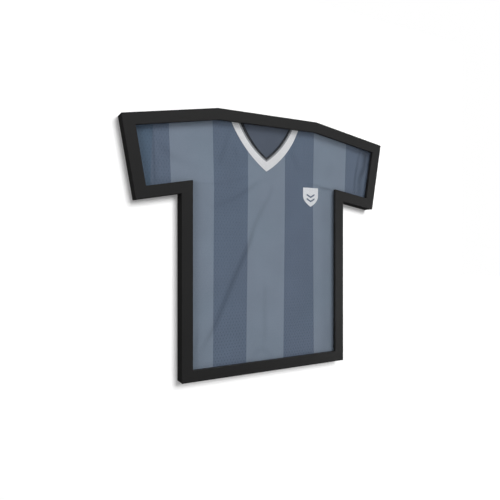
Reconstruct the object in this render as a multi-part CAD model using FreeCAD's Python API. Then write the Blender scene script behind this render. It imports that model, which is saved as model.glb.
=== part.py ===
import FreeCAD, Part
import math
import os

# Jersey display frame. A moulded rail in the outline of a short-sleeved shirt holds a clear window, a
# jersey folded round an insert panel, and a back panel. Turn buttons hold the back panel in, and two
# keyhole hangers take the wall screws.
#
# Millimetres, +Z up. The front faces -Y and the wall is the plane y = 0. The origin lies on that plane,
# midway between the entry holes of the two hangers. Left and right are as seen from the front.
#
# A depth is measured backwards from the front face. An inset is measured inwards from the outer edge.

# Outline
frame_width = 736.0
frame_height = 635.0
frame_depth = 30.0
neck_width = 284.0
body_width = 463.0
cuff_length = 186.0
slope = math.radians(10.0)  # of shoulders and underarms from level, and of cuffs from upright
outer_corner_radius = 1.5

# Front frame
rail_face = 26.8
face_thickness = 2.5
wall_thickness = 2.5
lip_thickness = 2.2
lip_depth = 8.0
locator_inset = 18.0
locator_thickness = 2.0
locator_depth = 18.3
opening_corner_radius = 1.0
outer_edge_radius = 0.8
opening_edge_radius = 0.5
rib_thickness = 1.6
rib_depth = 14.0
rib_pitch = 58.0
rib_clearance = 12.0  # from a rib to the nearest boss or post along the rail

# Window, jersey and panels, from front to back
panel_gap = 0.3
panel_corner_radius = 2.0
window_thickness = 1.5
window_to_fabric = 0.3
fabric_thickness = 0.7
fold_room = 0.5  # for the soft folds of the jersey's front layer
insert_thickness = 2.5
fold_thickness = 1.5
fold_width = 60.0
fold_gap = 0.1  # between the insert panel's back and the folded fabric
fold_to_back_panel = 0.2
wrap_slack = 0.2  # each side of the fabric where it turns round the insert panel's edge
back_panel_thickness = 3.0

# Neckline of the jersey, which sits a little to the left of the frame's middle
neckline_centre = -3.5
collar_tip_height = 498.0
collar_inner_tip_height = 527.5
collar_top_half_width = 98.0
collar_inner_top_half_width = 72.0
collar_bow = 13.5
collar_inner_bow = 8.0
collar_thickness = 0.9

# Badge sewn on the jersey's chest
badge_centre_x = 130.5
badge_centre_height = 438.0
badge_width = 48.0
badge_height = 50.0
badge_thickness = 0.3
badge_corner_radius = 1.5

# Turn buttons and their shouldered screws
pivot_inset = 10.0
button_boss_radius = 4.0
button_boss_top = 19.0
button_thickness = 2.5
button_heel_radius = 5.5
button_tip_radius = 4.5
button_reach = 18.0
button_play = 0.25
button_bore_radius = 2.06
button_edge_radius = 0.4
grip_distance = 11.5
grip_width = 1.8
grip_length = 6.4
grip_height = 1.2
shoulder_radius = 2.0
button_thread_radius = 1.45
button_thread_length = 9.0
button_pilot_radius = 1.5
button_pilot_depth = 10.0
button_head_radius = 3.8
button_head_height = 1.8

# Keyhole hangers and their countersunk screws
hanger_spacing = 200.0
hanger_drop = 12.0  # from the frame's top edge to the centres of the entry holes
hanger_length = 44.0
hanger_width = 14.5
hanger_rise = 1.75  # from the entry holes' centres up to the middle of the plates
hanger_thickness = 1.5
hanger_corner_radius = 1.5
entry_radius = 4.25
slot_radius = 2.1
slot_rise = 5.0
hanger_screw_spacing = 32.0
hanger_post_radius = 3.5
hanger_pilot_radius = 1.2
hanger_pilot_depth = 10.0
hanger_thread_radius = 1.15
hanger_thread_length = 9.0
countersink_radius = 2.8
countersink_depth = 1.3
countersink_floor_radius = 1.5
screw_head_gap = 0.05

# Cross recess in every screw head
recess_length_ratio = 1.1
recess_width_ratio = 0.26
recess_depth = 0.9

# Places that follow from the sizes above
origin_height = frame_height - hanger_drop
window_back = lip_depth + window_thickness
jersey_face = window_back + window_to_fabric
jersey_middle = jersey_face + fabric_thickness + fold_room
insert_face = jersey_middle + fabric_thickness
insert_back = insert_face + insert_thickness
fold_face = insert_back + fold_gap
fold_back = fold_face + fold_thickness
back_panel_face = fold_back + fold_to_back_panel
back_panel_back = back_panel_face + back_panel_thickness
panel_inset = locator_inset + locator_thickness + panel_gap
wrap_inset = panel_inset + wrap_slack
insert_inset = wrap_inset + fabric_thickness + wrap_slack
button_front = button_boss_top + button_play
button_back = button_front + button_thickness
button_head_seat = button_back + button_play
hanger_front = frame_depth - hanger_thickness

# Sides of the outline, clockwise from the right shoulder
RIGHT_SHOULDER, RIGHT_CUFF, RIGHT_UNDERARM, RIGHT_SIDE, HEM = range(5)
LEFT_SIDE, LEFT_UNDERARM, LEFT_CUFF, LEFT_SHOULDER, NECK = range(5, 10)

# Each turn button's name, its side, and how far along that side it sits
BUTTONS = (
    ("neck", NECK, 0.5),
    ("right_shoulder", RIGHT_SHOULDER, 0.5),
    ("right_cuff", RIGHT_CUFF, 0.5),
    ("right_side_upper", RIGHT_SIDE, 0.25),
    ("right_side_lower", RIGHT_SIDE, 0.75),
    ("hem", HEM, 0.5),
    ("left_side_lower", LEFT_SIDE, 0.25),
    ("left_side_upper", LEFT_SIDE, 0.75),
    ("left_cuff", LEFT_CUFF, 0.5),
    ("left_shoulder", LEFT_SHOULDER, 0.5),
)


def point(x, height, depth=0.0):
    """A point from its distance right of the middle, its height over the bottom and its depth."""
    return FreeCAD.Vector(x, depth - frame_depth, height - origin_height)


def backwards(length):
    """A vector pointing straight back, towards the wall."""
    return FreeCAD.Vector(0, length, 0)


def outline_corners():
    """The ten outer corners on the front face, clockwise from the right end of the neck."""
    sleeve_top = frame_height - (frame_width - neck_width) / 2 * math.tan(slope)
    cuff_x = frame_width / 2 - cuff_length * math.sin(slope)
    cuff_bottom = sleeve_top - cuff_length * math.cos(slope)
    armpit = cuff_bottom + (cuff_x - body_width / 2) * math.tan(slope)
    right = (
        (neck_width / 2, frame_height),
        (frame_width / 2, sleeve_top),
        (cuff_x, cuff_bottom),
        (body_width / 2, armpit),
        (body_width / 2, 0.0),
    )
    left = tuple((-x, height) for x, height in reversed(right))
    return [point(x, height) for x, height in right + left]


def unit(start, end):
    """The unit vector from one point to another."""
    step = end - start
    return step * (1 / step.Length)


def inward_of(direction):
    """The unit vector into the outline from a side that runs clockwise in this direction."""
    return FreeCAD.Vector(direction.z, 0, -direction.x)


def inset_corners(inset):
    """The outline's corners with every side moved inwards by inset."""
    corners = outline_corners()
    moved = []
    for index, here in enumerate(corners):
        after = corners[(index + 1) % len(corners)]
        first = inward_of(unit(corners[index - 1], here))
        second = inward_of(unit(here, after))
        moved.append(here + (first + second) * (inset / (1 + first.dot(second))))
    return moved


def side(index):
    """Start corner, direction and length of one side of the outline."""
    corners = outline_corners()
    start = corners[index]
    end = corners[(index + 1) % len(corners)]
    return start, unit(start, end), (end - start).Length


def prism(corners, front, back, corner_radius=0.0):
    """Solid between two depths whose outline has these corners, all given on the front face."""
    placed = [corner + backwards(front) for corner in corners]
    face = Part.Face(Part.makePolygon(placed + placed[:1]))
    solid = face.extrude(backwards(back - front))
    if corner_radius:
        upright = [edge for edge in solid.Edges if abs(edge.tangentAt(edge.FirstParameter).y) > 0.9]
        solid = solid.makeFillet(corner_radius, upright)
    return solid


def shirt(inset, front, back, corner_radius=0.0):
    """Shirt-shaped slab, inset from the outline, between two depths."""
    return prism(inset_corners(inset), front, back, corner_radius)


def band(outer_inset, inner_inset, front, back, inner_radius=0.0):
    """Wall that follows the whole outline between two insets."""
    return shirt(outer_inset, front, back).cut(shirt(inner_inset, front, back, inner_radius))


def disc(centre, radius, front, back):
    """Round bar along the depth, centred on a point of the front face."""
    return Part.makeCylinder(radius, back - front, centre + backwards(front), backwards(1))


def tapered_disc(centre, front_radius, back_radius, front, back):
    """Cone along the depth, centred on a point of the front face."""
    base = centre + backwards(front)
    return Part.makeCone(front_radius, back_radius, back - front, base, backwards(1))


def bar(centre, direction, length, width, front, back):
    """Rectangular block along the depth, its length along direction."""
    half_length = direction * (length / 2)
    half_width = inward_of(direction) * (width / 2)
    corners = [
        centre - half_length - half_width,
        centre + half_length - half_width,
        centre + half_length + half_width,
        centre - half_length + half_width,
    ]
    return prism(corners, front, back)


def edges_at(solid, depth):
    """Edges that lie wholly at one depth."""
    level = depth - frame_depth
    boxes = [(edge, edge.BoundBox) for edge in solid.Edges]
    return [edge for edge, box in boxes if max(abs(box.YMin - level), abs(box.YMax - level)) < 0.01]


def front_loops(solid):
    """Edges of the front face round the opening, and those along its outer edge."""
    front = max(
        (face for face in solid.Faces if abs(face.BoundBox.YMax + frame_depth) < 0.01),
        key=lambda face: face.Area,
    )
    loops = sorted(front.Wires, key=lambda wire: wire.Length)
    return loops[0].Edges, loops[-1].Edges


def button_pivot(side_index, fraction):
    """The point on the front face in line with a turn button's screw, and the way inwards from it."""
    start, direction, length = side(side_index)
    inward = inward_of(direction)
    return start + direction * (fraction * length) + inward * pivot_inset, inward


def hanger_centres():
    """The centres of the two hangers' entry holes, left then right."""
    return [point(x, origin_height) for x in (-hanger_spacing / 2, hanger_spacing / 2)]


def hanger_screw_places(centre):
    """The centres of one hanger's two screws."""
    middle = centre + FreeCAD.Vector(0, 0, hanger_rise)
    across = FreeCAD.Vector(hanger_screw_spacing / 2, 0, 0)
    return [middle - across, middle + across]


def fastener_places():
    """The centre of every boss and post that stands in the rail."""
    pivots = [button_pivot(index, fraction)[0] for _, index, fraction in BUTTONS]
    posts = [place for centre in hanger_centres() for place in hanger_screw_places(centre)]
    return pivots + posts


def cross_rib(place, direction):
    """Rib across the channel of the rail, from the outer wall to the locating wall."""
    outer = wall_thickness / 2
    inner = locator_inset + locator_thickness / 2
    inward = inward_of(direction)
    centre = place + inward * ((outer + inner) / 2)
    return bar(centre, inward, inner - outer, rib_thickness, face_thickness / 2, rib_depth)


def rail_ribs():
    """Ribs at an even pitch along each side, one through each boss, and none crowding a boss or post."""
    ribs = []
    places = fastener_places()
    for index in range(len(outline_corners())):
        start, direction, length = side(index)
        inward = inward_of(direction)
        count = int(length / rib_pitch)
        for step in range(1, count):
            place = start + direction * (length * step / count)
            middle = place + inward * pivot_inset
            if all((middle - other).Length > rib_clearance for other in places):
                ribs.append(cross_rib(place, direction))
    for _, index, fraction in BUTTONS:
        start, direction, length = side(index)
        ribs.append(cross_rib(start + direction * (fraction * length), direction))
    return ribs


def front_frame():
    """One moulding: face, outer wall, opening lip, locating wall, ribs, bosses and hanger posts."""
    outer = shirt(0, 0, frame_depth, outer_corner_radius)
    channel = shirt(wall_thickness, face_thickness, frame_depth)
    opening = shirt(rail_face, 0, frame_depth, opening_corner_radius)
    lip = shirt(rail_face - lip_thickness, face_thickness / 2, lip_depth)
    locator = band(
        locator_inset,
        locator_inset + locator_thickness,
        face_thickness / 2,
        locator_depth,
        panel_corner_radius - panel_gap,
    )
    bosses = []
    pilots = []
    for _, index, fraction in BUTTONS:
        pivot, _ = button_pivot(index, fraction)
        bosses.append(disc(pivot, button_boss_radius, face_thickness / 2, button_boss_top))
        pilot_floor = button_boss_top - button_pilot_depth
        pilots.append(disc(pivot, button_pilot_radius, pilot_floor, button_boss_top))
    for centre in hanger_centres():
        for place in hanger_screw_places(centre):
            bosses.append(disc(place, hanger_post_radius, face_thickness / 2, hanger_front))
            pilot_floor = hanger_front - hanger_pilot_depth
            pilots.append(disc(place, hanger_pilot_radius, pilot_floor, hanger_front))
    solid = outer.cut(channel).fuse([lip, locator] + rail_ribs() + bosses).cut(opening).cut(pilots)
    solid = solid.removeSplitter()
    opening_loop, outer_loop = front_loops(solid)
    solid = solid.makeFillet(outer_edge_radius, outer_loop)
    return solid.makeFillet(opening_edge_radius, front_loops(solid)[0])


def neckline(tip_height, top_half_width, bow, front, back):
    """Slab over the V of the neck: two arcs that bow outwards from the tip to the jersey's top edge."""
    top = frame_height - wrap_inset
    tip = point(neckline_centre, tip_height, front)
    arcs = []
    ends = []
    for sign in (-1, 1):
        end = point(neckline_centre + sign * top_half_width, top, front)
        chord = unit(tip, end)
        outwards = FreeCAD.Vector(chord.z, 0, -chord.x) * sign
        arcs.append(Part.Arc(tip, (tip + end) * 0.5 + outwards * bow, end).toShape())
        ends.append(end)
    wire = Part.Wire(Part.__sortEdges__(arcs + [Part.makeLine(ends[0], ends[1])]))
    return Part.Face(wire).extrude(backwards(back - front))


def jersey_front():
    """Front layer of the jersey, with the V of the neck cut out."""
    layer = shirt(wrap_inset, jersey_face, jersey_middle, panel_corner_radius)
    neck = neckline(collar_tip_height, collar_top_half_width, collar_bow, jersey_face, jersey_middle)
    return layer.cut(neck)


def jersey_back():
    """Back layer of the jersey, seen through the V of the neck."""
    return shirt(wrap_inset, jersey_middle, insert_face, panel_corner_radius)


def jersey_collar():
    """Ribbed band along the V of the neck."""
    front = jersey_middle - collar_thickness
    outer = neckline(collar_tip_height, collar_top_half_width, collar_bow, front, jersey_middle)
    inner = neckline(
        collar_inner_tip_height, collar_inner_top_half_width, collar_inner_bow, front, jersey_middle
    )
    return outer.cut(inner)


def jersey_fold_over():
    """Surplus of the jersey, turned round the insert panel's edges and laid flat behind it."""
    inner_radius = panel_corner_radius - wrap_slack
    edge = band(wrap_inset, wrap_inset + fabric_thickness, insert_face, fold_face, inner_radius)
    flap = band(wrap_inset, wrap_inset + fold_width, fold_face, fold_back)
    return edge.fuse(flap).removeSplitter()


def crest_badge():
    """Plain woven badge: a shield with a straight top and two arcs that meet at its foot."""
    front = jersey_face - badge_thickness
    half = badge_width / 2
    top = badge_centre_height + badge_height / 2
    shoulder = badge_centre_height + badge_height * 0.08
    foot = badge_centre_height - badge_height / 2
    bend = (half * 0.80, badge_centre_height - badge_height * 0.24)
    left_top = point(badge_centre_x - half, top, front)
    right_top = point(badge_centre_x + half, top, front)
    left_shoulder = point(badge_centre_x - half, shoulder, front)
    right_shoulder = point(badge_centre_x + half, shoulder, front)
    tip = point(badge_centre_x, foot, front)
    left_bend = point(badge_centre_x - bend[0], bend[1], front)
    right_bend = point(badge_centre_x + bend[0], bend[1], front)
    edges = [
        Part.makeLine(left_top, right_top),
        Part.makeLine(right_top, right_shoulder),
        Part.Arc(right_shoulder, right_bend, tip).toShape(),
        Part.Arc(tip, left_bend, left_shoulder).toShape(),
        Part.makeLine(left_shoulder, left_top),
    ]
    face = Part.Face(Part.Wire(edges))
    solid = face.extrude(backwards(badge_thickness))
    top_corners = [
        edge
        for edge in solid.Edges
        if abs(edge.tangentAt(edge.FirstParameter).y) > 0.9 and edge.BoundBox.ZMax > left_top.z - 0.1
    ]
    return solid.makeFillet(badge_corner_radius, top_corners)


def turn_button(pivot, inward):
    """Lever with a round heel on its screw, a tongue over the back panel and a finger grip."""
    tip_distance = button_reach - button_tip_radius
    tip = pivot + inward * tip_distance
    lean = (button_heel_radius - button_tip_radius) / tip_distance
    spread = math.sqrt(1 - lean * lean)
    across = inward_of(inward)
    flanks = []
    for centre, radius, signs in (
        (pivot, button_heel_radius, (-1, 1)),
        (tip, button_tip_radius, (1, -1)),
    ):
        for sign in signs:
            flanks.append(centre + (inward * lean + across * (sign * spread)) * radius)
    heel = disc(pivot, button_heel_radius, button_front, button_back)
    nose = disc(tip, button_tip_radius, button_front, button_back)
    lever = heel.fuse([nose, prism(flanks, button_front, button_back)]).removeSplitter()
    lever = lever.makeFillet(button_edge_radius, edges_at(lever, button_back))
    grip_centre = pivot + inward * grip_distance
    grip_top = button_back + grip_height
    grip = bar(grip_centre, across, grip_length, grip_width, button_back - 0.5, grip_top)
    grip = grip.makeFillet(button_edge_radius, edges_at(grip, grip_top))
    return lever.fuse(grip).cut(disc(pivot, button_bore_radius, button_front, button_back))


def cross_recess(place, head_radius, back):
    """The cutter for a cross recess in a screw head whose top lies at this depth."""
    right = FreeCAD.Vector(1, 0, 0)
    up = FreeCAD.Vector(0, 0, 1)
    length = head_radius * recess_length_ratio
    width = head_radius * recess_width_ratio
    front = back - recess_depth
    return bar(place, right, length, width, front, back).fuse(bar(place, up, length, width, front, back))


def turn_button_screw(pivot):
    """Screw with a domed head, a shoulder that the turn button swivels on and a thread in the boss."""
    head_back = button_head_seat + button_head_height
    head = disc(pivot, button_head_radius, button_head_seat, head_back)
    head = head.makeFillet(button_head_height * 0.6, edges_at(head, head_back))
    shoulder = disc(pivot, shoulder_radius, button_boss_top, button_head_seat)
    thread_tip = button_boss_top - button_thread_length
    thread = disc(pivot, button_thread_radius, thread_tip, button_boss_top)
    thread = thread.makeChamfer(button_thread_radius * 0.5, edges_at(thread, thread_tip))
    return head.fuse([shoulder, thread]).cut(cross_recess(pivot, button_head_radius, head_back))


def keyhole_hanger(centre):
    """Steel plate flush with the wall plane: entry hole, slot above it and two countersunk holes."""
    right = FreeCAD.Vector(1, 0, 0)
    up = FreeCAD.Vector(0, 0, 1)
    middle = centre + up * hanger_rise
    plate = bar(middle, right, hanger_length, hanger_width, hanger_front, frame_depth)
    upright = [edge for edge in plate.Edges if abs(edge.tangentAt(edge.FirstParameter).y) > 0.9]
    plate = plate.makeFillet(hanger_corner_radius, upright)
    slot_middle = centre + up * (slot_rise / 2)
    holes = [
        disc(centre, entry_radius, hanger_front, frame_depth),
        bar(slot_middle, up, slot_rise, slot_radius * 2, hanger_front, frame_depth),
        disc(centre + up * slot_rise, slot_radius, hanger_front, frame_depth),
    ]
    sink_front = frame_depth - countersink_depth
    for place in hanger_screw_places(centre):
        holes.append(disc(place, countersink_floor_radius, hanger_front, sink_front))
        holes.append(
            tapered_disc(place, countersink_floor_radius, countersink_radius, sink_front, frame_depth)
        )
    return plate.cut(holes)


def hanger_screw(place):
    """Countersunk screw, its head just under the wall plane."""
    head_back = frame_depth - screw_head_gap
    head_front = frame_depth - countersink_depth
    floor_radius = countersink_floor_radius - 2 * screw_head_gap
    top_radius = countersink_radius - 3 * screw_head_gap
    head = tapered_disc(place, floor_radius, top_radius, head_front, head_back)
    neck = disc(place, hanger_thread_radius, hanger_front, head_front)
    thread_tip = hanger_front - hanger_thread_length
    thread = disc(place, hanger_thread_radius, thread_tip, hanger_front)
    thread = thread.makeChamfer(hanger_thread_radius * 0.5, edges_at(thread, thread_tip))
    return head.fuse([neck, thread]).cut(cross_recess(place, top_radius, head_back))


def write_step(name, shape):
    """Write one sub-part to its own file."""
    shape.exportStep(os.path.join("parts", name + ".step"))


def main():
    os.makedirs("parts", exist_ok=True)
    write_step("front_frame", front_frame())
    write_step("clear_window", shirt(panel_inset, lip_depth, window_back, panel_corner_radius))
    write_step("jersey_front", jersey_front())
    write_step("jersey_back", jersey_back())
    write_step("jersey_collar", jersey_collar())
    write_step("jersey_fold_over", jersey_fold_over())
    write_step("crest_badge", crest_badge())
    write_step("insert_panel", shirt(insert_inset, insert_face, insert_back, panel_corner_radius))
    write_step("back_panel", shirt(panel_inset, back_panel_face, back_panel_back, panel_corner_radius))
    button_screws = []
    for name, side_index, fraction in BUTTONS:
        pivot, inward = button_pivot(side_index, fraction)
        write_step("turn_button_" + name, turn_button(pivot, inward))
        button_screws.append(turn_button_screw(pivot))
    write_step("turn_button_screws", Part.makeCompound(button_screws))
    hanger_screws = []
    for name, centre in zip(("left", "right"), hanger_centres()):
        write_step("keyhole_hanger_" + name, keyhole_hanger(centre))
        hanger_screws += [hanger_screw(place) for place in hanger_screw_places(centre)]
    write_step("hanger_screws", Part.makeCompound(hanger_screws))


main()
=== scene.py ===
import math

import bmesh
import bpy
import numpy as np
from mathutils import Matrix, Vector
from mathutils.geometry import delaunay_2d_cdt
from numpy.linalg import norm


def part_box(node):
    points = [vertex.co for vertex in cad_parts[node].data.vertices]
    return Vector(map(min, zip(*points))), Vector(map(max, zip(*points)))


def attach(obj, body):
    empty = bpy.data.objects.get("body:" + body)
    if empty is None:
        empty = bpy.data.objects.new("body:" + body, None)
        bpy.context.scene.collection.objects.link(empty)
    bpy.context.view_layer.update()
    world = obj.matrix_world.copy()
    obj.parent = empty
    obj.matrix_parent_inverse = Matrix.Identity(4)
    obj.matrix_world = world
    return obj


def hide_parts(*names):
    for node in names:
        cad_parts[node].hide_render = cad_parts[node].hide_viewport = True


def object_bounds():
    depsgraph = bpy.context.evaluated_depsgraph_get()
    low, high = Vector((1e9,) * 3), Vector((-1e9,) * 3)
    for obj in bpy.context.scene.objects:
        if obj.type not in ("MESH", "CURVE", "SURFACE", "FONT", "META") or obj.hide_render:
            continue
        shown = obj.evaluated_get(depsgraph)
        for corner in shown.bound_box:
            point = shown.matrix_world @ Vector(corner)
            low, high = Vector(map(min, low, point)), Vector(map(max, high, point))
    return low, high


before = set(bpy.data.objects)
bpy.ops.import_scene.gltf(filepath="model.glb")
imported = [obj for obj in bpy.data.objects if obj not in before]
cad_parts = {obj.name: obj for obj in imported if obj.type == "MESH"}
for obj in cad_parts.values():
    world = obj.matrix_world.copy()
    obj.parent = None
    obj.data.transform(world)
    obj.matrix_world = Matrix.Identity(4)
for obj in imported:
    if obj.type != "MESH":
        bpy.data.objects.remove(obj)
scene = bpy.context.scene
cad_low, cad_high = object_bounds()

# Looks of the jersey display frame. Metres. The front faces -Y. A place on the jersey is (x, height): x is
# right of the frame's middle and height is over its bottom. A depth is measured back from the front face.

FRONT = cad_low.y
BOTTOM = cad_low.z
FRAME_HEIGHT = cad_high.z - cad_low.z

# Outline of the frame, as in its design
FRAME_WIDTH = 0.736
NECK_WIDTH = 0.284
BODY_WIDTH = 0.463
CUFF_LENGTH = 0.186
SLOPE = math.radians(10)


def depth_of(y):
    """Depth of a place along Y."""
    return y - FRONT


def spot(x, height, depth):
    """A point in the row frame from its place and depth."""
    return Vector((x, FRONT + depth, BOTTOM + height))


# ---- camera

CAMERA_LENS = 34.69
CAMERA_YAW = math.radians(28.627)
CAMERA_SIDE = -0.6174
CAMERA_AHEAD = 1.0269
CAMERA_RISE = 0.3199
CAMERA_SHIFT = -0.01554


def make_camera():
    """Level camera ahead of the frame's left half, turned to the right."""
    data = bpy.data.cameras.new("camera")
    data.lens = CAMERA_LENS
    data.sensor_width = 36.0
    data.shift_y = CAMERA_SHIFT
    data.clip_start = 0.05
    data.clip_end = 100.0
    camera = bpy.data.objects.new("camera", data)
    camera.location = (CAMERA_SIDE, FRONT - CAMERA_AHEAD, BOTTOM + CAMERA_RISE)
    camera.rotation_euler = (math.pi / 2, 0.0, -CAMERA_YAW)
    scene.collection.objects.link(camera)
    scene.camera = camera


# ---- lights and surround

CENTRE = (cad_low + cad_high) / 2
FLOOR_DROP = 0.9
FLOOR_SIZE = 30.0
WALL_WIDTH = 1.5
WALL_HEIGHT = 1.3
BRIGHT_SIDE = Vector((0.34, -0.80, 0.22)).normalized()
DIM_STRENGTH = 0.04
BRIGHT_STRENGTH = 0.405
WHITE = (1.0, 1.0, 1.0, 1.0)


def area_light(name, offset, size, power):
    """Square soft light at an offset from the object's centre, aimed at it."""
    data = bpy.data.lights.new(name, "AREA")
    data.size = size
    data.energy = power
    light = bpy.data.objects.new(name, data)
    light.location = CENTRE + Vector(offset)
    light.rotation_euler = (-Vector(offset)).to_track_quat("-Z", "Y").to_euler()
    scene.collection.objects.link(light)
    return light


def make_surround():
    """White surround whose light comes mostly from the front, the right and above."""
    world = bpy.data.worlds.new("surround")
    world.use_nodes = True
    tree = world.node_tree
    tree.nodes.clear()
    direction = node(tree, "TexCoord").outputs["Generated"]
    towards = node(tree, "VectorMath", {0: direction, 1: BRIGHT_SIDE}, operation="DOT_PRODUCT")
    lit = span(tree, towards.outputs["Value"], -0.35, 0.85, DIM_STRENGTH, BRIGHT_STRENGTH)
    seen = node(tree, "LightPath").outputs["Is Camera Ray"]
    strength = maths(tree, "MAXIMUM", lit, seen)
    background = node(tree, "Background", {"Color": WHITE, "Strength": strength}).outputs[0]
    node(tree, "OutputWorld", {"Surface": background})
    scene.world = world
    scene.view_settings.view_transform = "Standard"


def pale_paint(tree):
    """Matt white paint, faintly clouded."""
    speckle = node(tree, "TexNoise", {"Scale": 3.0, "Detail": 2.0}).outputs["Fac"]
    return {"Base Color": ramp(tree, speckle, [(0.0, (0.90, 0.90, 0.90)), (1.0, (0.93, 0.93, 0.93))])}


def pale_finish(name, glow):
    """Pale paint that glows a little, so that it stays white far from the lights."""
    finish = finish_with(name, pale_paint, Roughness=0.9, Specular_IOR_Level=0.0)
    shader = finish.node_tree.nodes["Principled BSDF"]
    shader.inputs["Emission Color"].default_value = WHITE
    shader.inputs["Emission Strength"].default_value = glow
    return finish


def make_stage():
    """Pale floor below the object, and a white backdrop that only takes the frame's soft shadow."""
    staged_plane("floor", FLOOR_SIZE, (0, 0, BOTTOM - FLOOR_DROP), 0, pale_finish("pale_floor", 1.0))
    finish = pale_finish("pale_backdrop", 0.12)
    tree = finish.node_tree
    behind = node(tree, "NewGeometry").outputs["Backfacing"]
    clear = node(tree, "BsdfTransparent").outputs[0]
    front = tree.nodes["Principled BSDF"].outputs[0]
    mixed = node(tree, "MixShader", {"Fac": behind, 1: front, 2: clear}).outputs[0]
    tree.links.new(mixed, tree.nodes["Material Output"].inputs["Surface"])
    against = (CENTRE.x, cad_high.y + 0.0002, CENTRE.z)
    wall = staged_plane("backdrop", 1.0, against, math.pi / 2, finish)
    wall.scale = (WALL_WIDTH, WALL_HEIGHT, 1.0)
    return wall


def staged_plane(name, size, location, tilt, finish):
    """Plane of the stage, which only the camera sees."""
    bpy.ops.mesh.primitive_plane_add(size=size, location=location, rotation=(tilt, 0, 0))
    plane = bpy.context.object
    plane.name = name
    plane.data.materials.append(finish)
    plane.visible_diffuse = False
    plane.visible_glossy = False
    plane.visible_transmission = False
    plane.visible_shadow = False
    return plane


def make_lights(wall):
    """Far key from the upper right, weak fill, low side sheen and back light; one more for the backdrop."""
    lights = [
        area_light("key", (2.39, -3.82, 5.36), 2.8, 283.0),
        area_light("fill", (-2.4, -0.9, 0.3), 1.6, 34.0),
        area_light("side_sheen", (1.90, -0.24, -0.35), 0.7, 24.0),
        area_light("back_light", (1.1, 2.5, 1.2), 1.8, 160.0),
    ]
    wall_light = area_light("backdrop_light", (0.85, -4.0, 1.7), 2.0, 188.0)
    wall_light.light_linking.receiver_collection = linked_to("backdrop_only", wall, "INCLUDE")
    for light in lights:
        light.light_linking.receiver_collection = linked_to("all_but_backdrop", wall, "EXCLUDE")


def linked_to(name, wall, state):
    """Collection that links a light to the wall alone, or to everything but the wall."""
    made = bpy.data.collections.get(name)
    if made is None:
        made = bpy.data.collections.new(name)
        made.objects.link(wall)
        made.collection_objects[0].light_linking.link_state = state
    return made


# ---- node helpers


def node(tree, kind, inputs=None, **settings):
    """A new shader node. An input is a constant or another node's output."""
    made = tree.nodes.new("ShaderNode" + kind)
    for key, value in settings.items():
        setattr(made, key, value)
    for key, value in (inputs or {}).items():
        if isinstance(value, bpy.types.NodeSocket):
            tree.links.new(value, made.inputs[key])
        else:
            made.inputs[key].default_value = value
    return made


def maths(tree, operation, *values):
    """Output of a Math node over these values."""
    return node(tree, "Math", dict(enumerate(values)), operation=operation).outputs[0]


def plus(tree, first, second):
    """Sum of two values."""
    return maths(tree, "ADD", first, second)


def minus(tree, first, second):
    """First value less the second."""
    return maths(tree, "SUBTRACT", first, second)


def times(tree, first, second):
    """Product of two values."""
    return maths(tree, "MULTIPLY", first, second)


def ripple(tree, value, pitch):
    """Sine wave that repeats at a pitch."""
    return maths(tree, "SINE", times(tree, value, math.tau / pitch))


def ramp(tree, factor, stops):
    """Colour from a factor by linear stops of (position, colour)."""
    made = node(tree, "ValToRGB", {"Fac": factor})
    elements = made.color_ramp.elements
    while len(elements) < len(stops):
        elements.new(0.5)
    for element, (position, colour) in zip(elements, stops):
        element.position = position
        element.color = (*colour, 1.0)
    return made.outputs["Color"]


def span(tree, value, low, high, to_low=0.0, to_high=1.0):
    """Value mapped smoothly from one range to another."""
    inputs = {"Value": value, "From Min": low, "From Max": high, "To Min": to_low, "To Max": to_high}
    return node(tree, "MapRange", inputs, interpolation_type="SMOOTHSTEP").outputs["Result"]


def blend(tree, factor, first, second, kind="MIX"):
    """Colour mixed from two by a factor."""
    made = node(tree, "Mix", data_type="RGBA", blend_type=kind)
    for socket, value in ((made.inputs[0], factor), (made.inputs[6], first), (made.inputs[7], second)):
        if isinstance(value, bpy.types.NodeSocket):
            tree.links.new(value, socket)
        else:
            socket.default_value = value if isinstance(value, float) else (*value, 1.0)
    return made.outputs[2]


def own_place(tree):
    """The shaded point in the piece's own frame, in metres."""
    return node(tree, "TexCoord").outputs["Object"]


def place_across(tree):
    """X and Z of the shaded point."""
    parts = node(tree, "SeparateXYZ", {"Vector": own_place(tree)}).outputs
    return parts["X"], parts["Z"]


def noise(tree, scale, detail=3.0, stretch=(1.0, 1.0, 1.0)):
    """Noise from 0 to 1, with its grain stretched along the axes."""
    mapped = node(tree, "Mapping", {"Vector": own_place(tree), "Scale": stretch}).outputs[0]
    made = node(tree, "TexNoise", {"Vector": mapped, "Scale": scale, "Detail": detail})
    return made.outputs["Fac"]


def uneven(tree, grain, low, high):
    """The usual reach of a noise, 0.3 to 0.7, mapped to a range."""
    return span(tree, grain, 0.3, 0.7, low, high)


def bumped(tree, height, distance, strength=1.0, below=None):
    """Normal from a height, over another normal if there is one."""
    inputs = {"Height": height, "Distance": distance, "Strength": strength}
    if below is not None:
        inputs["Normal"] = below
    return node(tree, "Bump", inputs).outputs["Normal"]


def surface(base, roughness, normal):
    """Shader inputs that every finish links."""
    return {"Base Color": base, "Roughness": roughness, "Normal": normal}


def finish_with(name, build, *values, **constants):
    """Material whose build(tree, *values) gives linked shader inputs; constants go on the shader."""
    made = bpy.data.materials.new(name)
    made.use_nodes = True
    tree = made.node_tree
    shader = tree.nodes["Principled BSDF"]
    for key, value in constants.items():
        shader.inputs[key.replace("_", " ")].default_value = value
    for key, socket in build(tree, *values).items():
        tree.links.new(socket, shader.inputs[key])
    return made


# ---- materials

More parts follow.
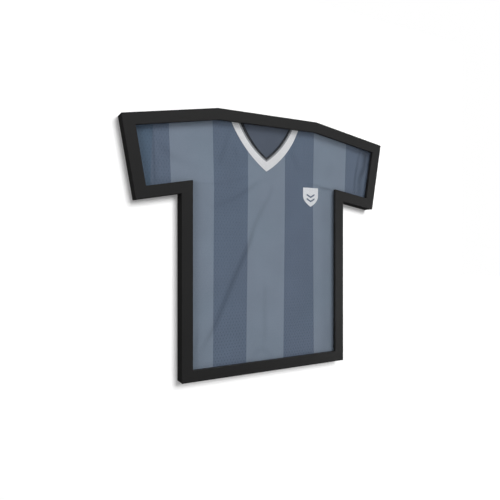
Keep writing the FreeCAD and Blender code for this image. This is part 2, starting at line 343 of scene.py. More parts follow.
FRAME_BLACK = (0.0098, 0.0098, 0.0100)
FRAME_BLACK_WORN = (0.018, 0.018, 0.0185)
LIGHT_STRIPE = (0.222, 0.268, 0.336)
DARK_STRIPE = (0.128, 0.165, 0.232)
SLEEVE_END = (0.100, 0.148, 0.214)
INSIDE_KNIT = (0.090, 0.108, 0.145)
COOL_CAST = (0.955, 0.995, 0.985)
# Painted shade: the colour that creases and rib grooves are darkened towards
PAINTED_CREASE_SHADE = (0.010, 0.016, 0.028)
RIB_WHITE = (0.86, 0.86, 0.875)
SEAM_THREAD = (0.13, 0.16, 0.22)
BINDING_GREY = (0.33, 0.34, 0.36)
TAPE_BLACK = (0.022, 0.024, 0.029)
BADGE_FIELD = (0.82, 0.83, 0.86)
BADGE_BORDER = (0.86, 0.87, 0.90)
BADGE_EMBLEM = (0.14, 0.18, 0.25)
SCREW_ZINC = ((0.66, 0.67, 0.68), (0.42, 0.42, 0.41))
HANGER_STEEL = ((0.58, 0.59, 0.60), (0.36, 0.36, 0.35))
FINE_TWILL = 0.0007
STRIPE_EDGES_LEFT = (0.0566, 0.1478, 0.2535)
STRIPE_EDGES_RIGHT = (0.0505, 0.1382, 0.2446)
STRIPE_SPREAD = 0.16
STRIPE_LEAN = 0.0115
STRIPE_FLARE = 0.0065
SPREAD_FROM = 0.450
EYELET_PITCH = 0.0080
EYELET_ROWS = 0.0150
EYELET_HALF_WIDTH = 0.0011
EYELET_HALF_HEIGHT = 0.0022
HEM_LINE = 0.2955
HEM_LEAN = 0.042
HEM_TOP = 0.590


def frame_black(tree):
    """Moulded black plastic: fine spark-eroded grain, faint flow marks and paler worn edges."""
    grain = noise(tree, 2600.0, 2.0)
    flow = noise(tree, 9.0, 4.0)
    scuff = noise(tree, 75.0, 6.0)
    rounded = node(tree, "Bevel", {"Radius": 0.0012}, samples=4).outputs["Normal"]
    plain = node(tree, "NewGeometry").outputs["Normal"]
    turn = node(tree, "VectorMath", {0: rounded, 1: plain}, operation="DOT_PRODUCT")
    edge = span(tree, turn.outputs["Value"], 0.995, 0.90)
    worn = times(tree, edge, span(tree, scuff, 0.35, 0.75))
    base = ramp(tree, flow, [(0.3, FRAME_BLACK), (0.7, tuple(1.16 * c for c in FRAME_BLACK))])
    return surface(
        blend(tree, worn, base, FRAME_BLACK_WORN),
        span(tree, scuff, 0.2, 0.8, 0.52, 0.58),
        bumped(tree, grain, 0.00006, 0.7, rounded),
    )


def eyelets(tree, x, z):
    """1 in the staggered upright eyelets of the mesh knit, 0 between them."""
    column = maths(tree, "DIVIDE", x, EYELET_PITCH)
    row = maths(tree, "DIVIDE", z, EYELET_ROWS)
    masks = []
    for shift in (0.0, 0.5):
        across = maths(tree, "FRACT", plus(tree, column, shift + 100.0))
        along = maths(tree, "FRACT", plus(tree, row, shift + 100.0))
        across = times(tree, minus(tree, across, 0.5), EYELET_PITCH / EYELET_HALF_WIDTH)
        along = times(tree, minus(tree, along, 0.5), EYELET_ROWS / EYELET_HALF_HEIGHT)
        square = plus(tree, maths(tree, "POWER", across, 2.0), maths(tree, "POWER", along, 2.0))
        masks.append(span(tree, square, 1.3, 0.5))
    return maths(tree, "MAXIMUM", *masks)


def knit_height(tree, x, z, wale=0.0013, course=0.0010):
    """Height of plain knit: rows of V stitches."""
    lean = maths(tree, "PINGPONG", plus(tree, x, 1.0), wale / 2)
    rows = ripple(tree, plus(tree, z, times(tree, lean, 0.9)), course)
    wales = ripple(tree, x, wale)
    return plus(tree, times(tree, rows, 0.5), maths(tree, "ABSOLUTE", wales))


def yarn_shade(tree, colour, amount=0.05):
    """Colour with the small uneven shade of dyed yarn, and slow drift over the cloth."""
    fine = uneven(tree, noise(tree, 900.0, 2.0), 1 - amount, 1 + amount)
    slow = uneven(tree, noise(tree, 11.0, 2.0), 1 - 0.6 * amount, 1 + 0.6 * amount)
    shade = node(tree, "CombineXYZ", {i: times(tree, fine, slow) for i in range(3)})
    return blend(tree, 1.0, colour, shade.outputs[0], "MULTIPLY")


def stripe_mask(tree, x, z, edges, side):
    """1 in the dark stripes on one side of the jersey (side is -1 or 1), 0 in the light ones."""
    above = minus(tree, z, BOTTOM + SPREAD_FROM)
    rise = maths(tree, "MAXIMUM", above, 0.0)
    drop = maths(tree, "MINIMUM", above, 0.0)
    spread = plus(tree, times(tree, rise, STRIPE_SPREAD), 1.0)
    across = times(tree, x, float(side))
    leaning = plus(tree, across, times(tree, drop, -side * STRIPE_LEAN))
    flaring = plus(tree, across, times(tree, drop, STRIPE_FLARE))
    spreading = maths(tree, "DIVIDE", flaring, spread)
    soft = 0.0003
    outs = (leaning, spreading, spreading)
    first, second, third = (span(tree, out, edge - soft, edge + soft) for out, edge in zip(outs, edges))
    return plus(tree, minus(tree, first, second), third)


def with_painted_crease_shade(tree, colour):
    """Colour, darkened by painted shade where the piece's points lie in creases and rib grooves."""
    crease = node(tree, "Attribute", attribute_name="crease").outputs["Fac"]
    return blend(tree, crease, colour, PAINTED_CREASE_SHADE)


def striped_knit(tree):
    """Jersey's outside: broad upright stripes, light ones of plain knit and dark ones of mesh knit."""
    x, z = place_across(tree)
    left = stripe_mask(tree, x, z, STRIPE_EDGES_LEFT, -1)
    dark = plus(tree, left, stripe_mask(tree, x, z, STRIPE_EDGES_RIGHT, 1))
    base = blend(tree, dark, LIGHT_STRIPE, DARK_STRIPE)
    slant = times(tree, minus(tree, BOTTOM + HEM_TOP, z), HEM_LEAN)
    past_hem = minus(tree, times(tree, x, -1.0), slant)
    beyond = span(tree, past_hem, HEM_LINE - 0.002, HEM_LINE + 0.002)
    base = blend(tree, beyond, base, SLEEVE_END)
    cast = span(tree, noise(tree, 6.0, 1.0), 0.38, 0.62)
    base = blend(tree, times(tree, cast, 0.5), base, COOL_CAST, "MULTIPLY")
    hole = eyelets(tree, x, z)
    open_knit = span(tree, z, BOTTOM + 0.24, BOTTOM + 0.08, 0.20, 0.34)
    open_share = plus(tree, times(tree, dark, open_knit), 0.05)
    base = blend(tree, times(tree, hole, open_share), base, tuple(0.3 * c for c in DARK_STRIPE))
    # Painted shade down in the creases
    base = with_painted_crease_shade(tree, base)
    knit = knit_height(tree, x, z)
    depth = times(tree, hole, plus(tree, times(tree, dark, 0.7), 0.3))
    relief = minus(tree, times(tree, knit, 0.35), depth)
    return surface(
        yarn_shade(tree, base),
        uneven(tree, noise(tree, 700.0), 0.78, 0.92),
        bumped(tree, relief, 0.00018, 0.6),
    )


def inside_knit(tree):
    """Jersey's inside, seen through the neck: the stripes barely strike through."""
    x, z = place_across(tree)
    out = maths(tree, "ABSOLUTE", minus(tree, x, NECK_CENTRE))
    strike = span(tree, out, STRIPE_EDGES_RIGHT[0] - 0.002, STRIPE_EDGES_RIGHT[0] + 0.002)
    base = blend(tree, strike, tuple(1.05 * c for c in INSIDE_KNIT), INSIDE_KNIT)
    hole = eyelets(tree, x, z)
    base = blend(tree, times(tree, hole, 0.3), base, tuple(0.4 * c for c in INSIDE_KNIT))
    relief = minus(tree, times(tree, knit_height(tree, x, z), 0.35), hole)
    return surface(
        yarn_shade(tree, base, 0.07),
        uneven(tree, noise(tree, 700.0), 0.8, 0.95),
        bumped(tree, relief, 0.00018, 0.6),
    )


def yarn(tree, colour):
    """Spun yarn or thread in one colour, darkened by painted shade in creases and rib grooves."""
    fibre = noise(tree, 1500.0)
    return surface(
        yarn_shade(tree, with_painted_crease_shade(tree, colour), 0.06),
        uneven(tree, fibre, 0.75, 0.92),
        bumped(tree, fibre, 0.00008, 0.7),
    )


def twill(tree, colour, pitch=0.0009):
    """Woven badge or tape cloth in one colour: fine diagonal ribs."""
    x, z = place_across(tree)
    rib = ripple(tree, plus(tree, x, z), pitch)
    pick = ripple(tree, z, pitch * 0.7)
    return surface(
        yarn_shade(tree, colour, 0.04),
        uneven(tree, noise(tree, 900.0), 0.6, 0.8),
        bumped(tree, plus(tree, rib, times(tree, pick, 0.5)), 0.00006, 0.7),
    )


def insert_board(tree):
    """White lined card with fibres in it."""
    fibre = noise(tree, 420.0, 5.0, (1.0, 1.0, 0.2))
    base = ramp(tree, fibre, [(0.35, (0.60, 0.59, 0.56)), (0.7, (0.76, 0.755, 0.73))])
    return surface(base, uneven(tree, fibre, 0.8, 0.95), bumped(tree, fibre, 0.00005, 0.6))


def back_board(tree):
    """Brown hardboard: short pressed fibres that lie every way, dark flecks and faint scuffs."""
    upright = noise(tree, 900.0, 3.0, (1.0, 1.0, 0.22))
    level = noise(tree, 820.0, 3.0, (0.25, 1.0, 1.0))
    fibre = times(tree, plus(tree, upright, level), 0.5)
    fleck = noise(tree, 520.0, 2.0, (0.5, 1.0, 1.0))
    cloud = noise(tree, 5.0, 3.0)
    browns = [(0.34, (0.135, 0.080, 0.045)), (0.50, (0.178, 0.110, 0.063)), (0.66, (0.222, 0.143, 0.086))]
    base = ramp(tree, fibre, browns)
    base = blend(tree, span(tree, fleck, 0.64, 0.76, 0.0, 0.55), base, (0.065, 0.038, 0.022))
    base = blend(tree, span(tree, cloud, 0.35, 0.65, 0.0, 0.14), base, (0.140, 0.090, 0.055))
    return surface(base, span(tree, fibre, 0.35, 0.65, 0.46, 0.62), bumped(tree, fibre, 0.00008, 0.6))


def button_plastic(tree):
    """Satin black nylon with a fine grain and rubbed patches."""
    grain = noise(tree, 3200.0, 2.0)
    rub = noise(tree, 130.0, 5.0)
    return surface(
        ramp(tree, rub, [(0.35, (0.016, 0.016, 0.017)), (0.75, (0.030, 0.030, 0.031))]),
        span(tree, rub, 0.3, 0.75, 0.34, 0.50),
        bumped(tree, grain, 0.00004, 0.6),
    )


def plated_steel(tree, light, dark, scale):
    """Zinc-plated steel: fine brushing and small stains."""
    brushing = noise(tree, scale, 4.0, (0.08, 1.0, 1.0))
    stain = noise(tree, 240.0, 5.0)
    return surface(
        ramp(tree, stain, [(0.32, dark), (0.62, light)]),
        uneven(tree, brushing, 0.26, 0.44),
        bumped(tree, brushing, 0.00003, 0.7),
    )


def clear_window():
    """Thin anti-reflective acrylic: nearly all see-through, with a faint gloss that grows at a slant."""
    made = bpy.data.materials.new("window_clear")
    made.use_nodes = True
    tree = made.node_tree
    tree.nodes.clear()
    slant = node(tree, "LayerWeight", {"Blend": 0.30}).outputs["Fresnel"]
    gloss = times(tree, slant, 0.10)
    smear = noise(tree, 16.0, 4.0)
    clear = node(tree, "BsdfTransparent", {"Color": (0.985, 0.988, 0.990, 1.0)})
    shine = node(tree, "BsdfGlossy", {"Color": WHITE, "Roughness": uneven(tree, smear, 0.03, 0.06)})
    mixed = node(tree, "MixShader", {"Fac": gloss, 1: clear.outputs[0], 2: shine.outputs[0]})
    node(tree, "OutputMaterial", {"Surface": mixed.outputs[0]})
    return made


# ---- mesh helpers


def new_piece(name, points, faces, finish, smooth=True):
    """Mesh piece with one finish, riding on the frame."""
    mesh = bpy.data.meshes.new(name)
    mesh.from_pydata([tuple(p) for p in points], [], [tuple(f) for f in faces])
    mesh.validate()
    mesh.materials.append(finish)
    piece = bpy.data.objects.new(name, mesh)
    scene.collection.objects.link(piece)
    if smooth:
        mesh.shade_smooth()
    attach(piece, "frame")
    return piece


def shade_by(piece, values):
    """Store the painted shade of each point, down in its creases and rib grooves, for the finish to read."""
    made = piece.data.attributes.new("crease", "FLOAT", "POINT")
    made.data.foreach_set("value", values.astype(np.float32))


def face_outwards(piece, sheet=False):
    """Turn a closed mesh's faces outwards, or a sheet's so that its front faces the window."""
    shape = bmesh.new()
    shape.from_mesh(piece.data)
    bmesh.ops.recalc_face_normals(shape, faces=shape.faces)
    if sheet:
        in_front = [face for face in shape.faces if face.calc_center_median().y < FRONT + insert_face]
        if sum(face.normal.y * face.calc_area() for face in in_front) > 0:
            bmesh.ops.reverse_faces(shape, faces=shape.faces)
    shape.to_mesh(piece.data)
    shape.free()


def outline(inset):
    """The outline's ten corners as (x, height), clockwise from the right end of the neck."""
    sleeve_top = FRAME_HEIGHT - (FRAME_WIDTH - NECK_WIDTH) / 2 * math.tan(SLOPE)
    cuff_x = FRAME_WIDTH / 2 - CUFF_LENGTH * math.sin(SLOPE)
    cuff_bottom = sleeve_top - CUFF_LENGTH * math.cos(SLOPE)
    armpit = cuff_bottom + (cuff_x - BODY_WIDTH / 2) * math.tan(SLOPE)
    right = [
        (NECK_WIDTH / 2, FRAME_HEIGHT),
        (FRAME_WIDTH / 2, sleeve_top),
        (cuff_x, cuff_bottom),
        (BODY_WIDTH / 2, armpit),
        (BODY_WIDTH / 2, 0.0),
    ]
    corners = np.array(right + [(-x, height) for x, height in reversed(right)])
    along = np.roll(corners, -1, axis=0) - corners
    along /= norm(along, axis=1)[:, None]
    inward = np.stack([along[:, 1], -along[:, 0]], axis=1)
    before = np.roll(inward, 1, axis=0)
    scale = inset / (1 + (inward * before).sum(axis=1))
    return corners + (inward + before) * scale[:, None]


# ---- jersey

collar_low, collar_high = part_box("jersey_collar")
badge_low, badge_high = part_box("crest_badge")
window_back = depth_of(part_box("clear_window")[1].y)
insert_low, insert_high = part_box("insert_panel")
insert_face = depth_of(insert_low.y)
insert_back = depth_of(insert_high.y)
fold_back = depth_of(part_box("jersey_fold_over")[1].y)

CLOTH = 0.0004
LAYER_GAP = 0.0001
INSERT_INSET = 0.0214
EDGE_INSET = INSERT_INSET - LAYER_GAP - CLOTH / 2
BACK_LAYER = insert_face - LAYER_GAP - CLOTH / 2
FRONT_LAYER = BACK_LAYER - CLOTH - LAYER_GAP
CLOTH_FRONT = FRONT_LAYER - CLOTH / 2
HIGHEST_FOLD = FRONT_LAYER - window_back - CLOTH / 2 - 0.00004
EVEN_RISE = 0.20
WAVE_RISE = 0.10
GRID = 0.0042
COARSE_GRID = 0.006
EDGE_CURL = 0.0006
FLAP = 0.058
NECK_SIDE = 9
SEAM_TUCK = 0.0022

badge_size = np.array([badge_high.x - badge_low.x, badge_high.z - badge_low.z])
badge_centre = np.array([(badge_low.x + badge_high.x) / 2, (badge_low.z + badge_high.z) / 2 - BOTTOM])
BADGE_SLOPE = 0.012
HELD_EDGE = 0.002
EDGE_SLOPE = 0.02

NECK_SHIFT = -0.0010
NECK_CENTRE = (collar_low.x + collar_high.x) / 2 + NECK_SHIFT
NECK_TOP = FRAME_HEIGHT - EDGE_INSET
NECK_POINTS = 46
STITCH_LINE_POINTS = 60

# Necklines, as (height of the tip, half width at the top on the left and the right, bow of each side)
COLLAR_OUTER = (0.4966, 0.0994, 0.0971, 0.0102, 0.0132)
BINDING_OUTER = (0.5204, 0.0801, 0.0797, 0.0096, 0.0091)
TAPE_OUTER = (0.5252, 0.0753, 0.0749, 0.0082, 0.0077)
# The dark tape is wider on the left arm; the extra width there is painted shade
TAPE_AND_SHADE_INNER = (0.5308, 0.0665, 0.0692, 0.0070, 0.0064)

# Folds of the jersey. Each is a line of (x, height, size), where the size is the fold's share of the room
# under the window, then half the width of its crease, the width of its gentle side, and how much painted
# shade darkens the crease where the fold is full size.
FOLDS = (
    (((0.01, 0.47, 0.0), (0.007, 0.441, 0.3), (-0.032, 0.374, 0.55), (-0.057, 0.3095, 0.95),
      (-0.096, 0.231, 1.0), (-0.145, 0.125, 0.9), (-0.17, 0.084, 0.45), (-0.186, 0.052, 0.0)),
     0.0062, 0.026, 0.23),
    (((-0.16, 0.4, 0.0), (-0.131, 0.411, 0.35), (-0.0965, 0.425, 0.45), (-0.057, 0.448, 0.65),
      (-0.027, 0.468, 0.35), (0.01, 0.48, 0.15), (0.03, 0.486, 0.0)), 0.0066, 0.018, 0.2),
    (((-0.212, 0.456, 0.2), (-0.187, 0.457, 0.4), (-0.147, 0.458, 0.4), (-0.11, 0.464, 0.3),
      (-0.057, 0.48, 0.3), (-0.03, 0.487, 0.0)), 0.0036, 0.014, 0.2),
    (((-0.135, 0.5, 0.0), (-0.13, 0.517, 0.4), (-0.12, 0.547, 0.5), (-0.106, 0.59, 0.3)),
     0.006, 0.014, 0.2),
    (((-0.096, 0.565, 0.0), (-0.091, 0.54, 0.4), (-0.084, 0.508, 0.0)), 0.0055, 0.012, 0.16),
    (((-0.292, 0.548, 0.0), (-0.268, 0.53, 0.6), (-0.252, 0.515, 0.6), (-0.218, 0.5, 0.35),
      (-0.17, 0.498, 0.0)), 0.0085, 0.016, 0.13),
    (((-0.2995, 0.6, 0.5), (-0.2975, 0.573, 0.5), (-0.295, 0.545, 0.5), (-0.294, 0.517, 0.6),
      (-0.2925, 0.493, 0.7), (-0.2917, 0.467, 0.7), (-0.29, 0.445, 0.6)), 0.0026, 0.006, 0.26),
    (((-0.2855, 0.515, 0.0), (-0.2842, 0.5, 0.35), (-0.285, 0.483, 0.4), (-0.284, 0.45, 0.3)),
     0.0024, 0.006, 0.2),
    (((0.304, 0.6, 0.6), (0.298, 0.572, 0.6), (0.292, 0.55, 0.65), (0.2867, 0.525, 0.8),
      (0.2825, 0.503, 0.8), (0.28, 0.485, 0.7), (0.2785, 0.45, 0.4)), 0.0034, 0.008, 0.36),
    (((0.324, 0.595, 0.8), (0.32, 0.567, 1.0), (0.315, 0.533, 0.9), (0.308, 0.517, 0.8),
      (0.2985, 0.497, 0.55), (0.2975, 0.483, 0.45), (0.2965, 0.45, 0.3)), 0.0076, 0.012, 0.6),
    (((0.052, 0.575, 0.2), (0.074, 0.542, 0.5), (0.088, 0.512, 0.25), (0.096, 0.492, 0.0)),
     0.008, 0.02, 0.14),
    (((0.118, 0.474, 0.0), (0.153, 0.467, 0.5), (0.18, 0.463, 0.5), (0.207, 0.46, 0.55),
      (0.226, 0.457, 0.3)), 0.0034, 0.012, 0.34),
    (((0.205, 0.545, 0.0), (0.193, 0.512, 0.4), (0.186, 0.48, 0.0)), 0.011, 0.02, 0.1),
    (((-0.062, 0.018, 0.1), (-0.036, 0.047, 0.5), (-0.01, 0.05, 0.5), (0.018, 0.022, 0.1)),
     0.008, 0.014, 0.14),
    (((-0.203, 0.04, 0.0), (-0.192, 0.088, 0.45), (-0.183, 0.13, 0.0)), 0.005, 0.01, 0.12),
    (((0.203, 0.018, 0.1), (0.194, 0.075, 0.5), (0.203, 0.13, 0.0)), 0.008, 0.014, 0.14),
    (((-0.009, 0.06, 0.0), (-0.009, 0.085, 0.3), (-0.009, 0.14, 0.35), (-0.009, 0.195, 0.25),
      (-0.008, 0.225, 0.0)), 0.0065, 0.016, 0.22),
)
# Parts of a fold across its line, in half widths of the crease
CREASE_GUIDES = (-2.4, -1.8, -1.2, -0.6, 0.0, 0.6, 1.2, 1.8, 2.4)
CLIMB_WIDTH = 2.4
FALL_FROM = 1.2
FOOT_AT = 1.6
FOOT_SHARE = 0.12
LEAST_GUIDE_STEP = 0.0022
LEAST_GUIDE_GAP = 0.0014

# Waves of the cloth, as (turns in a metre across, turns in a metre up, start, size)
WAVES = ((9.0, 3.5, 0.4, 0.34), (-6.0, 7.5, 1.9, 0.26), (15.0, -5.0, 2.7, 0.20), (4.0, 16.0, 0.9, 0.20))


def smooth_step(share):
    """Shares from 0 to 1, eased at both ends."""
    return share * share * (3 - 2 * share)


def run_along(line):
    """Distance from a line's start to each of its points."""
    return np.concatenate([[0.0], np.cumsum(norm(np.diff(line, axis=0), axis=1))])


def on_line(line, run, at):
    """Places on a line at these distances from its start."""
    return np.stack([np.interp(at, run, line[:, k]) for k in range(2)], axis=-1)


def smooth_path(points, steps=9):
    """Catmull-Rom curve through points, each given as a row of numbers."""
    rows = np.array(points, float)
    rows = np.vstack([2 * rows[0] - rows[1], rows, 2 * rows[-1] - rows[-2]])
    made = []
    for i in range(1, len(rows) - 2):
        for t in np.arange(steps) / steps:
            a, b, c, d = rows[i - 1 : i + 3]
            square, cube = 2 * a - 5 * b + 4 * c - d, 3 * b - a - 3 * c + d
            made.append(0.5 * (2 * b + (c - a) * t + square * t**2 + cube * t**3))
    made.append(rows[-2])
    return np.array(made)


def beside(places, path):
    """Distance from a line to each place, positive on its right, and the line's size nearest to it."""
    step = np.diff(path[:, :2], axis=0)
    distance = np.full(len(places), 1.0)
    size = np.zeros(len(places))
    for i, along in enumerate(step):
        away = places - path[i, :2]
        share = np.clip(away @ along / (along @ along), 0, 1)
        gap = norm(away - share[:, None] * along, axis=1)
        cross = along[0] * away[:, 1] - along[1] * away[:, 0]
        right = cross * (-1 if along[1] > 0 else 1) > 0
        closer = gap < np.abs(distance)
        distance = np.where(closer, np.where(right, gap, -gap), distance)
        size = np.where(closer, path[i, 2] + share * (path[i + 1, 2] - path[i, 2]), size)
    return distance, size


def fold_shape(places):
    """Rise of the front layer at each (x, height), as a share of its room, and the painted shade of its
    creases.
    """
    rise = np.zeros(len(places))
    crease = np.zeros(len(places))
    for points, half, gentle, dark in FOLDS:
        distance, size = beside(places, smooth_path(points))
        climb = smooth_step(np.clip(distance / (CLIMB_WIDTH * half) + 0.5, 0, 1))
        fall = np.exp(-((np.maximum(distance - FALL_FROM * half, 0) / gentle) ** 2))
        foot = np.exp(-(((distance + FOOT_AT * half) / half) ** 2))
        own = size * (climb * fall - FOOT_SHARE * foot)
        rise = rise + own * (1 - 0.5 * np.clip(rise, 0, 1))
        # Painted shade along the crease line, fading over its half width
        crease = np.maximum(crease, dark * size * np.exp(-((distance / half) ** 2)))
    return rise, crease


def slow_waves(places):
    """Shallow uneven swell of cloth laid over a board, from -1 to 1."""
    x, height = places[:, 0], places[:, 1]
    swell = np.zeros(len(places))
    for turns_x, turns_h, start, size in WAVES:
        swell += size * np.sin(math.tau * (turns_x * x + turns_h * height) + start)
    return swell


def neck_curve(curve, count):
    """Points of one neckline from its left top, by the tip, to its right top."""
    tip_height, left_half, right_half, left_bow, right_bow = curve
    tip = np.array([NECK_CENTRE, tip_height])
    sides = []
    for sign, half_width, bow in ((-1, left_half, left_bow), (1, right_half, right_bow)):
        end = np.array([NECK_CENTRE + sign * half_width, NECK_TOP])
        chord = end - tip
        length = norm(chord)
        outwards = np.array([chord[1], -chord[0]]) / length * sign
        radius = (length**2 / 4 + bow**2) / (2 * bow)
        centre = (tip + end) / 2 + outwards * (bow - radius)
        half_turn = math.asin(length / 2 / radius)
        along = chord / length
        turns = np.linspace(-half_turn, half_turn, count)
        arc = [centre + radius * (outwards * math.cos(t) + along * math.sin(t)) for t in turns]
        sides.append(np.array(arc))
    return np.vstack([sides[0][::-1], sides[1][1:]])


def even_samples(corners, spacing):
    """Evenly spaced (side, share) samples round an outline."""
    samples = []
    for index in range(10):
        length = norm(corners[(index + 1) % 10] - corners[index])
        count = max(2, round(length / spacing))
        samples += [(index, step / count) for step in range(count)]
    return samples


def at_shares(corners, samples):
    """Places of (side, share) samples on an outline."""
    return np.array([corners[i] + (corners[(i + 1) % 10] - corners[i]) * s for i, s in samples])


def fill(boundary, spacing, extra=()):
    """Triangles over a closed boundary, on a staggered grid with extra points. Gives places and faces."""
    low, high = boundary.min(axis=0), boundary.max(axis=0)
    grid = []
    for number, height in enumerate(np.arange(low[1], high[1], spacing * math.sqrt(3) / 2)):
        start = low[0] + spacing / 2 * (number % 2)
        grid += [(x, height) for x in np.arange(start, high[0], spacing)]
    candidates = np.array(grid)
    if len(extra):
        far = np.ones(len(candidates), bool)
        for taken in extra:
            far &= np.abs(candidates - taken).max(axis=1) > 0.55 * spacing
        candidates = np.vstack([candidates[far], extra])
    kept = inside(candidates, boundary) & (clearance(candidates, boundary) > 0.6 * spacing)
    points = np.vstack([boundary, candidates[kept]])
    count = len(boundary)
    edges = [(i, (i + 1) % count) for i in range(count)]
    made = delaunay_2d_cdt([Vector(p) for p in points], edges, [], 1, 1e-7)
    return np.array([tuple(v) for v in made[0]]), [tuple(f) for f in made[2]]


def inside(places, boundary):
    """True for each place within the boundary."""
    result = np.zeros(len(places), bool)
    following = np.roll(boundary, -1, axis=0)
    for (x1, h1), (x2, h2) in zip(boundary, following):
        if h1 == h2:
            continue
        crosses = (h1 > places[:, 1]) != (h2 > places[:, 1])
        at = x1 + (places[:, 1] - h1) / (h2 - h1) * (x2 - x1)
        result ^= crosses & (places[:, 0] < at)
    return result


def clearance(places, boundary):
    """Distance from each place to the boundary."""
    best = np.full(len(places), 1.0)
    following = np.roll(boundary, -1, axis=0)
    for start, end in zip(boundary, following):
        step = end - start
        length = step @ step
        if length < 1e-12:
            continue
        share = np.clip((places - start) @ step / length, 0, 1)
        best = np.minimum(best, norm(places - start - share[:, None] * step, axis=1))
    return best


def finish_sheet(piece, *nodes):
    """Face a cloth layer to the window, give it its thickness, and say which CAD nodes it replaces."""
    face_outwards(piece, sheet=True)
    modifier = piece.modifiers.new("thickness", "SOLIDIFY")
    modifier.thickness = CLOTH
    modifier.offset = 0.0
    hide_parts(*nodes)
    return piece


def area_in(corners):
    """Area within an outline."""
    after = np.roll(corners, -1, axis=0)
    return abs((corners[:, 0] * after[:, 1] - corners[:, 1] * after[:, 0]).sum()) / 2


def fold_guides():
    """Mesh points in rows along every crease, so that its shape is fine enough."""
    rows = []
    for points, half, _, _ in FOLDS:
        line = smooth_path(points)[:, :2]
        run = run_along(line)
        line = on_line(line, run, np.arange(0.0, run[-1], max(LEAST_GUIDE_STEP, 0.55 * half)))
        ahead = np.gradient(line, axis=0)
        ahead /= norm(ahead, axis=1)[:, None]
        across = np.stack([ahead[:, 1], -ahead[:, 0]], axis=1)
        for offset in CREASE_GUIDES:
            rows.append(line + across * offset * half)
    return thin_out(np.vstack(rows), LEAST_GUIDE_GAP)


def thin_out(places, least):
    """The places without those that are too near to an earlier one."""
    kept = {}
    for place in places:
        cell = (round(place[0] / least), round(place[1] / least))
        kept.setdefault(cell, place)
    return np.array(list(kept.values()))


def front_rim():
    """Samples round the front layer's outline from the right end of its V neck to the left end."""
    corners = outline(EDGE_INSET)
    samples = even_samples(corners, GRID)
    across = at_shares(corners, samples)[:, 0]
    left_top = NECK_CENTRE - COLLAR_OUTER[1] + SEAM_TUCK
    right_top = NECK_CENTRE + COLLAR_OUTER[2] - SEAM_TUCK
    on_neck = np.array([index == NECK_SIDE for index, _ in samples])
    keep = ~(on_neck & (across > left_top - GRID / 2) & (across < right_top + GRID / 2))
    first = int(np.argmax(across * on_neck * keep > right_top))
    order = [i % len(samples) for i in range(first, first + len(samples))]
    return [samples[i] for i in order if keep[i]]


def add_flap(points, faces, samples):
    """Add the cloth that turns from the rim round the insert panel's edge and lies flat behind it."""
    behind = insert_back + LAYER_GAP + CLOTH / 2
    rings = [(EDGE_INSET - 0.00005, FRONT_LAYER + 0.0005)]
    rings += [(EDGE_INSET, depth) for depth in np.linspace(insert_face + 0.0002, insert_back - 0.0002, 4)]
    rings += [(EDGE_INSET + EDGE_CURL, behind)]
    rings += [(EDGE_INSET + turned, behind + 0.0001) for turned in np.linspace(0.002, FLAP, 14)]
    count = len(samples)
    before = range(count)
    for number, (inset, depth) in enumerate(rings):
        ring = range(len(points), len(points) + count)
        lift = max(0, number - 5) / len(rings)
        for i, (x, height) in enumerate(at_shares(outline(inset), samples)):
            bunch = 0.5 + 0.5 * math.sin(i * 0.9 + samples[i][0]) * math.cos(i * 0.37)
            points.append(spot(x, height, depth + lift * bunch * (fold_back - behind - CLOTH)))
        faces += [(before[i + 1], before[i], ring[i], ring[i + 1]) for i in range(count - 1)]
        before = ring


def make_jersey_front(knit):
    """Front layer with its V neck, turned round the insert panel's edges and folded flat behind it."""
    samples = front_rim()
    neck = neck_curve(moved_out(COLLAR_OUTER, -SEAM_TUCK * 1.3, -SEAM_TUCK), NECK_POINTS)
    boundary = np.vstack([at_shares(outline(EDGE_INSET), samples), neck])
    places, faces = fill(boundary, GRID, fold_guides())
    free = smooth_step(np.clip((clearance(places, boundary) - HELD_EDGE) / EDGE_SLOPE, 0, 1))
    free = free * (1 - near_badge(places))
    rise, crease = fold_shape(places)
    rise = np.clip(rise + EVEN_RISE + WAVE_RISE * slow_waves(places), 0.0, 1.0) * free
    points = [spot(x, h, FRONT_LAYER - HIGHEST_FOLD * r) for (x, h), r in zip(places, rise)]
    add_flap(points, faces, samples)
    piece = new_piece("jersey_front_cloth", points, faces, knit)
    # The crease values are painted shade, read by the finish
    shade_by(piece, np.concatenate([crease * free, np.zeros(len(points) - len(places))]))
    return finish_sheet(piece, "jersey_front", "jersey_fold_over")


def near_badge(places):
    """1 under the badge, falling to 0 a little way from it."""
    away = np.maximum(np.abs(places - badge_centre) - badge_size / 2, 0)
    return smooth_step(np.clip(1 - norm(away, axis=1) / BADGE_SLOPE, 0, 1))


def make_jersey_back(knit):
    """Back layer, laid flat on the insert panel. Its inside shows through the neck."""
    corners = outline(EDGE_INSET + EDGE_CURL)
    places, faces = fill(at_shares(corners, even_samples(corners, COARSE_GRID)), COARSE_GRID)
    points = [spot(x, h, BACK_LAYER) for x, h in places]
    return finish_sheet(new_piece("jersey_back_cloth", points, faces, knit), "jersey_back")


# ---- collar

COLLAR_FACE = depth_of(collar_low.y) + 0.0001
COLLAR_BACK = FRONT_LAYER + CLOTH / 2
RIB_PITCH = 0.0024
RIB_DEPTH = 0.00018
# Painted shade in the rib valleys, stored as crease shade
RIB_GROOVE_SHADE = 0.15
RIB_POINTS = 640
BAND_POINTS = 120


